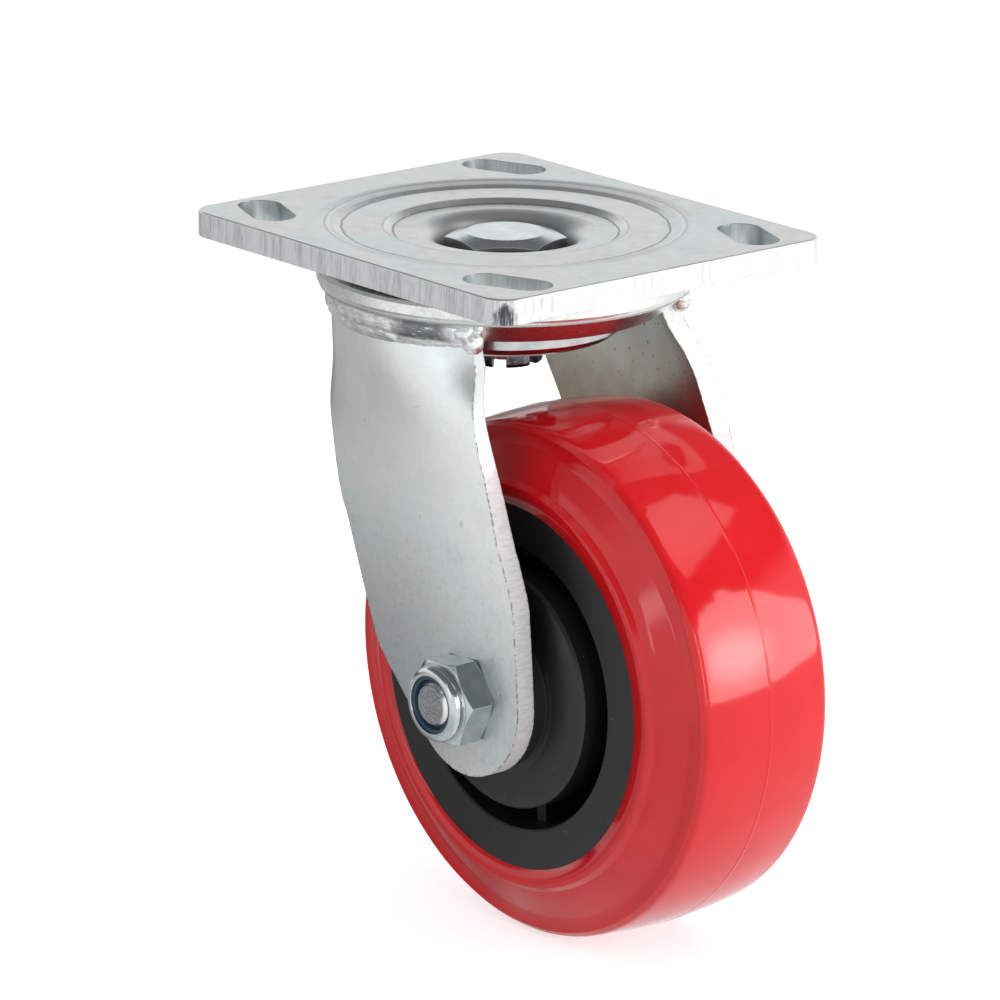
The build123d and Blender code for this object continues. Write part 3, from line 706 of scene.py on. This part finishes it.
# the skin's waves: height and length of the slow ones and of the small ones
WAVES = ((0.075, 17.0), (0.014, 6.5))
SKIN_SINK = 0.09
# what the mould left near the parting line: angle, place across, size and height
TREAD_NUBS = (
    (75.5, 2.6, 0.9, 0.16),
    (67.5, 4.9, 0.7, 0.12),
    (71.0, -9.0, 0.8, 0.03),
    (8.0, -14.0, 0.6, 0.04),
)
# flow marks: angle, place across, length, width and height
TREAD_MARKS = (
    (83.0, -11.0, 9.0, 0.9, 0.07),
    (79.5, -13.0, 7.0, 0.8, 0.05),
    (86.0, -4.0, 8.0, 1.2, 0.05),
)


def tread_relief(turn, across, reach):
    """How far the cast skin stands off its smooth shape at a point, in millimetres."""
    angle = radians(turn)
    outside = max(0.0, min(1.0, (reach - 57.0) / 3.0))
    spot = Vector((cos(angle) * reach, across, sin(angle) * reach))
    (slow_height, slow_length), (small_height, small_length) = WAVES
    waves = noise.noise(spot / slow_length) * slow_height
    waves += noise.noise(spot / small_length + Vector((9, 2, 5))) * small_height
    relief = waves * (0.35 + 0.65 * outside) - SKIN_SINK * outside
    # the joint of the two mould halves, a hair proud here and sunk there
    proud = 0.8 + 0.6 * noise.noise(spot / 8.0)
    relief += outside * PARTING_HEIGHT * bell(across, PARTING_HALF) * proud
    for place, middle, size, height in TREAD_NUBS:
        along = radians((turn - place + 180) % 360 - 180) * reach
        relief += outside * height * bell(hypot(along, across - middle), size)
    for place, middle, length, width, height in TREAD_MARKS:
        along = radians((turn - place + 180) % 360 - 180) * reach
        bend = along - 0.03 * (across - middle) ** 2
        relief += outside * height * bell(across - middle, length * 0.6) * bell(bend, width)
    return relief


def tread_section():
    """The tread's outline, as places across the wheel and distances from its axis."""
    half = TREAD_HALF_WIDTH
    radius = TREAD_RADIUS
    crown_end = radius - CROWN_DROP
    corners = (
        (-half, BOND_RADIUS, 0.0),
        (-half, STEP_RADIUS, STEP_ROUND),
        (-half + SIDE_INSET, STEP_RADIUS + 1, STEP_ROUND),
        (-CROWN_HALF, crown_end, SHOULDER_ROUND),
        (0.0, radius + CROWN_RISE, 0.0),
    )
    rounded = section_with_rounds(corners)[:-1]
    foot = STEP_RADIUS + SIDE_FOOT
    side = []
    for step in range(1, SIDE_STEPS):
        share = step / SIDE_STEPS
        across = -half + SIDE_INSET + (half - SIDE_INSET - CROWN_HALF) * share
        side.append((across, foot + (crown_end - SHOULDER_DROP - foot) * share))
    outline = [point for point in rounded if point[1] <= foot + 0.1] + side
    shoulder = [point for point in rounded if point[1] > foot + 0.1]
    lip_across, lip_height = shoulder[0]
    for offset, stand_out in TREAD_LIP:
        across = lip_across - stand_out + offset * 0.37
        outline.append((across, lip_height + offset * 0.93 + stand_out * 0.35))
    outline += shoulder[1:]
    # the crown, with close steps by the parting line
    crown_radius = (CROWN_HALF**2 + CROWN_DROP**2) / (2 * CROWN_DROP)
    reach = CROWN_HALF - 1.6
    steps = [reach * step / CROWN_STEPS for step in range(-CROWN_STEPS, CROWN_STEPS + 1)]
    steps += [sign * step for step in PARTING_STEPS for sign in (-1, 1)]
    inside = abs(outline[-1][0]) - 0.3
    crown = []
    for across in sorted(steps):
        if abs(across) < inside:
            crown.append((across, radius - crown_radius + sqrt(crown_radius**2 - across**2)))
    mirrored = [(-across, height) for across, height in reversed(outline)]
    return outline + crown + mirrored


def cast_tread(material):
    """The cast tyre: a crowned ring, wavy as its mould left it, with a fine parting line."""
    section = tread_section()
    points = []
    for step in range(TREAD_TURNS):
        turn = 360 * step / TREAD_TURNS
        angle = radians(turn)
        for across, out in section:
            if out > STEP_RADIUS - 2:
                out = min(out + tread_relief(turn, across, out), TREAD_RADIUS)
            points.append(AXLE + Vector((out * cos(angle), across, out * sin(angle))) * MM)
    mesh = mesh_from(points, grid_faces(TREAD_TURNS, len(section), True, True), "cast_tread")
    made = new_object("cast_tread", mesh, "wheel", material)
    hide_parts("tread")


# where the torch stopped: angle round the ring, distance out, height, and half sizes
# along the run, outwards and upwards
WELD_STOPS = (
    (50.5, 41.6, -18.4, (2.6, 2.2, 3.0)),
    (53.5, 42.2, -16.4, (2.2, 1.6, 1.7)),
)


def weld_stop(name, side, turn, reach, height, halves, material):
    """A blob of metal at the end of a run."""
    solid = bmesh.new()
    bmesh.ops.create_icosphere(solid, subdivisions=4, radius=1.0)
    turn = radians(turn)
    centre = Vector((reach * cos(turn), side * reach * sin(turn), height))
    along_half, out_half, up_half = halves
    for vertex in solid.verts:
        spot = vertex.co.copy()
        lump = 1 + 0.16 * noise.noise(spot * 1.6 + centre) + 0.05 * noise.noise(spot * 4.0 + centre)
        out = spot.x * out_half * lump
        along = spot.y * along_half * lump
        up = spot.z * up_half * lump
        x = out * cos(turn) - along * sin(turn)
        y = side * (out * sin(turn) + along * cos(turn))
        vertex.co = (centre + Vector((x, y, up))) * MM
    mesh = bpy.data.meshes.new(name)
    write_mesh(solid, mesh)
    new_object(name, mesh, "fork", material)


# the weld runs: angle round the ring where they start and how far they go, then their
# section from the ring's underside down to the leg's skin
WELD_START = -122.0
WELD_ARC = 72.0
WELD_TURNS = 260
WELD_STEPS = 16
LEG_SKIN = 40.8
WELD_TOP = -14.95
WELD_FOOT = -21.36
WELD_ROOT = 1.0


def weld_point(share, down, side, ends, taper, ripple):
    """Distance out and height of the bead's skin, a share along it and a share down it."""
    spot = Vector((share * 46, down * 4.5, side * 7.0))
    lumps = noise.noise(spot / 3.4) * 0.42
    lumps += noise.noise(spot / 1.3 + Vector((4, 4, 4))) * 0.13
    straight = LEG_SKIN + 1.95 * (1 - down) - 0.1 * down
    swell = sin(pi * down) ** 0.9 * (0.62 + 0.45 * ends) * (1 - 0.3 * down)
    fold = 0.58 + 0.06 * noise.noise(Vector((share * 14, 3, side)))
    groove = -0.28 * bell(down - fold, 0.07)
    uneven = (lumps + ripple + groove) * min(1.0, 4 * down, 4 * (1 - down))
    reach = straight - 0.8 + (swell + uneven + 0.8) * taper
    height = WELD_TOP + (WELD_FOOT - WELD_TOP) * down
    return reach, height - 0.25 * ends * sin(pi * down)


def weld_bead(name, node, side, material):
    """A run of weld metal, lumpy and rippled, thicker where it starts and stops."""
    points = []
    for step in range(WELD_TURNS + 1):
        share = step / WELD_TURNS
        turn = radians(WELD_START + WELD_ARC * share)
        ends = bell(share, 0.07) + bell(1 - share, 0.07)
        taper = min(1.0, min(share, 1 - share) / 0.02) ** 0.5
        ripple = 0.04 * sin(share * 90 + 3.0 * noise.noise(Vector((share * 9, side, 0))))
        profile = []
        for place in range(WELD_STEPS + 1):
            down = place / WELD_STEPS
            profile.append(weld_point(share, down, side, ends, taper, ripple))
        profile.append((LEG_SKIN - WELD_ROOT, WELD_FOOT + 0.3))
        profile.append((LEG_SKIN - WELD_ROOT, WELD_TOP - 1.7))
        for reach, height in profile:
            spot = Vector((reach * cos(turn), side * -reach * sin(turn), height))
            points.append(spot * MM)
    around = len(profile)
    faces = grid_faces(WELD_TURNS + 1, around, False, True)
    faces.append(tuple(range(around)))
    faces.append(tuple(reversed(range(WELD_TURNS * around, (WELD_TURNS + 1) * around))))
    made = new_object(name, mesh_from(points, faces, name), "fork", material)
    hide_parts(node)


def carry_over():
    """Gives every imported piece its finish."""
    finishes = {
        "top_plate": plate_zinc(),
        "kingpin": plain_zinc("pin_zinc", ZINC_PIN, 0.17, 0.6, 0.02),
        "kingpin_nut": dark_nut(),
        "lower_race_cup": plain_zinc("cup_zinc", ZINC_DULL, 0.16, 0.7, 0.02),
        "upper_balls": greased_steel_in_shade(),
        "yoke_ring": ring_zinc(),
        "leg_left": leg_zinc(),
        "weld_left": weld_zinc(),
        "axle_bolt": bolt_zinc(),
        "axle_nut": plain_zinc("nut_zinc", ZINC_NUT, 0.12, 0.4, 0.010, 0.35),
        "nut_insert": nylon("blue_ring", INSERT_BLUE),
        "axle_sleeve": plain_zinc("sleeve_steel", ZINC_DULL, 0.22),
        "thrust_washers": plain_zinc("washer_zinc", ZINC_DULL, 0.25),
        "roller_cage": nylon("cage_white", CAGE_CREAM),
        "wheel_hub": moulded_black(),
        "tread": cast_red(),
    }
    finishes["lower_balls"] = finishes["upper_balls"]
    finishes["rollers"] = finishes["axle_sleeve"]
    finishes["leg_right"] = finishes["leg_left"]
    finishes["weld_right"] = finishes["weld_left"]
    for name, material in finishes.items():
        piece = nodes[name]
        piece.data.materials.clear()
        piece.data.materials.append(material)
    return finishes


# ---- studio ----

# the room round the castor: brightness, azimuths in degrees of its darker parts, and the painted
# shadow on the floor as mirrored near the castor
ROOM_LEVEL = 1.05
ROOM_TINT = (0.985, 1.0, 1.01)
DIM_SIDE_LEVEL = 0.58
DIM_SIDE_AZIMUTH = -168.0
BACK_AZIMUTH = 150.0
BACK_DIP = 0.62
FLOOR_SHADOW_AZIMUTH = -142.0
FLOOR_SHADOW_DIP = 0.32
CEILING_LEVEL = 0.17
AMBIENT_LEVEL = 0.61

FLOOR_HALF = 3.0
FLOOR_GLOW = 0.66
FLOOR_LEAST = 0.10

CAMERA_AZIMUTH = 49.6501
CAMERA_HEIGHT_ANGLE = 16.2315
CAMERA_ROLL = 0.4941
CAMERA_DISTANCE = 1.41751
CAMERA_SHIFT = (-1.3622 * MM, -65.1871 * MM)
FOCAL_IN_PIXELS = 6040.859
PICTURE_SIDE = 1000
SENSOR = 36.0

BOX_BORDER = 0.006
BOX_FAR_BORDER = 0.97


def set_camera():
    data = bpy.data.cameras.new("studio_camera")
    data.sensor_width = SENSOR
    data.lens = FOCAL_IN_PIXELS * SENSOR / PICTURE_SIDE
    data.clip_start = 0.05
    data.clip_end = 20.0
    azimuth = radians(CAMERA_AZIMUTH)
    rise = radians(CAMERA_HEIGHT_ANGLE)
    roll = radians(CAMERA_ROLL)
    back = Vector((sin(azimuth) * cos(rise), -cos(azimuth) * cos(rise), sin(rise)))
    level = Vector((cos(azimuth), sin(azimuth), 0))
    upright = back.cross(level)
    right = level * cos(roll) + upright * sin(roll)
    up = upright * cos(roll) - level * sin(roll)
    place = back * CAMERA_DISTANCE + right * CAMERA_SHIFT[0] + up * CAMERA_SHIFT[1]
    camera = bpy.data.objects.new("studio_camera", data)
    camera.matrix_world = Matrix(
        (
            (right.x, up.x, back.x, place.x),
            (right.y, up.y, back.y, place.y),
            (right.z, up.z, back.z, place.z),
            (0, 0, 0, 1),
        )
    )
    bpy.context.scene.collection.objects.link(camera)
    bpy.context.scene.camera = camera


def towards(x, y, azimuth):
    """How far a level direction points to this azimuth, 1 straight at it, -1 away."""
    turn = radians(azimuth)
    return (x * cos(turn) + y * sin(turn)) / distance(x, y).most(0.001)


def room_level(x, y, z):
    """How bright the room is in a direction: pale all round, dim at one side, dark overhead."""
    dip = towards(x, y, DIM_SIDE_AZIMUTH).between(0.55, 0.95) * z.between(0.18, -0.04)
    level = ROOM_LEVEL - dip * (ROOM_LEVEL - DIM_SIDE_LEVEL)
    overhead = z.between(0.38, 0.52)
    return level * (1 - overhead) + overhead * CEILING_LEVEL


def set_world():
    """White where the camera sees it, a soft room where the castor is lit and mirrored."""
    world = bpy.data.worlds.new("studio")
    bpy.context.scene.world = world
    shader = Shader(world)
    x, y, z = shader.parts_of(shader.node("TexCoord", output="Generated"))
    behind = towards(x, y, BACK_AZIMUTH).between(0.2, 0.7)
    level = room_level(x, y, z) - behind * z.between(0.14, 0.03) * BACK_DIP
    mirrored = shader.ray_is("Glossy")
    level = level * mirrored + AMBIENT_LEVEL * (1 - mirrored)
    red, green, blue = (level * share for share in ROOM_TINT)
    tone = shader.node("CombineColor", None, {0: red, 1: green, 2: blue})
    shown = shader.mix(shader.ray_is("Camera"), tone, colour(1, 1, 1))
    background = shader.node("Background", None, {"Color": shown, "Strength": 1.0})
    shader.node("OutputWorld", None, {"Surface": background})


def area_light(name, azimuth, height_angle, away, size, power):
    """Soft box that looks at the axle from this direction."""
    data = bpy.data.lights.new(name, "AREA")
    data.shape = "RECTANGLE"
    data.size, data.size_y = size
    data.energy = power
    azimuth, rise = radians(azimuth), radians(height_angle)
    back = Vector((cos(azimuth) * cos(rise), sin(azimuth) * cos(rise), sin(rise)))
    lamp = bpy.data.objects.new(name, data)
    lamp.location = AXLE + back * away
    lamp.rotation_euler = back.to_track_quat("Z", "Y").to_euler()
    bpy.context.scene.collection.objects.link(lamp)
    return lamp


def shape_box(lamp, core, core_size, core_gain, far_slope, near_slope, wave):
    """Cloth of a soft box: brightest at its core, with uneven, slanting side borders."""
    shader = Shader(lamp.data)
    up, across, _ = shader.parts_of(shader.node("NewGeometry", output="Parametric"))
    ripple = (shader.grain(shader.vector(up, across), 0.13, 4.0, 0.65) - 0.5) * wave
    far = BOX_FAR_BORDER - ((up - 0.5) * 1.7).most(0.5 - up) * far_slope + ripple
    near = near_slope * up + ripple * 0.4
    inside = (far - across).between(-BOX_BORDER, BOX_BORDER)
    inside = inside * (across - near).between(-BOX_BORDER, BOX_BORDER)
    from_core = distance(up - core[0], across - core[1])
    glow = from_core.between(core_size, core_size * 0.1) * core_gain + 1
    cloth = shader.node("Emission", None, {"Strength": inside * glow})
    shader.node("OutputLight", None, {"Surface": cloth})


def set_lights():
    # name, azimuth, height angle, distance, size and watts
    right = area_light("box_right", 38.0, 13.0, 1.2, (1.0, 0.92), 10.0)
    back = area_light("box_back", 53.0, 55.0, 1.1, (0.60, 0.46), 1.2)
    area_light("box_front", -84.0, 22.0, 1.3, (0.09, 0.95), 0.6)
    area_light("box_fill", -14.0, 8.0, 1.4, (0.16, 0.80), 2.2)
    # core place, core size and gain, slopes of the far and the near border, waviness
    shape_box(right, (0.36, 0.44), 0.30, 1.5, 0.55, 0.26, 0.18)
    shape_box(back, (0.5, 0.5), 0.5, 0.2, 0.30, 0.12, 0.20)


def set_floor():
    """Plain pale floor that the camera sees as white, with the castor's shadow kept, and a painted
    shadow near the castor in its mirrored look.
    """
    shader = new_shader("floor_white")
    matt = shader.node("BsdfDiffuse", None, {"Color": colour(0.80, 0.80, 0.80)})
    glow = shader.node("Emission", None, {"Color": colour(1, 1, 1), "Strength": FLOOR_GLOW})
    lit = shader.node("AddShader", None, {0: matt, 1: glow})
    lit = shader.node("MixShader", None, {0: shader.ray_is("Camera"), 1: matt, 2: lit})
    x, y, z = shader.parts_of(shader.moved(shader.node("TexCoord", output="Object"), -AXLE))
    away = distance(x, y)
    # painted shadow: the floor as mirrored darkens near the castor on one side
    near = away.between(0.38, 0.08) * towards(x, y, FLOOR_SHADOW_AZIMUTH).between(-0.1, 0.5)
    behind = towards(x, y, BACK_AZIMUTH).between(0.2, 0.7) * away.between(0.6, 1.2)
    level = room_level(x, y, z) - near * FLOOR_SHADOW_DIP - behind * BACK_DIP
    level = level.most(FLOOR_LEAST)
    tone = shader.node("CombineColor", None, {0: level, 1: level, 2: level})
    mirrored = shader.ray_is("Glossy").most(shader.ray_is("Transmission"))
    mirror_look = shader.node("Emission", None, {"Color": tone})
    surface = shader.node("MixShader", None, {0: mirrored, 1: lit, 2: mirror_look})
    shader.node("OutputMaterial", None, {"Surface": surface})
    signs = ((-1, -1), (1, -1), (1, 1), (-1, 1))
    corners = [(a * FLOOR_HALF, b * FLOOR_HALF, FLOOR_HEIGHT) for a, b in signs]
    mesh = mesh_from(corners, [(0, 1, 2, 3)], "studio_floor")
    mesh.materials.append(shader.owner)
    floor = bpy.data.objects.new("studio_floor", mesh)
    bpy.context.scene.collection.objects.link(floor)


bpy.context.scene.view_settings.view_transform = "Standard"
finishes = carry_over()
cast_tread(finishes["tread"])
weld_bead("weld_run_left", "weld_left", -1, finishes["weld_left"])
weld_bead("weld_run_right", "weld_right", 1, finishes["weld_right"])
for side, word in ((-1, "left"), (1, "right")):
    for number, stop in enumerate(WELD_STOPS):
        weld_stop(f"weld_stop_{word}_{number}", side, *stop, finishes["weld_left"])
set_camera()
set_world()
set_lights()
set_floor()
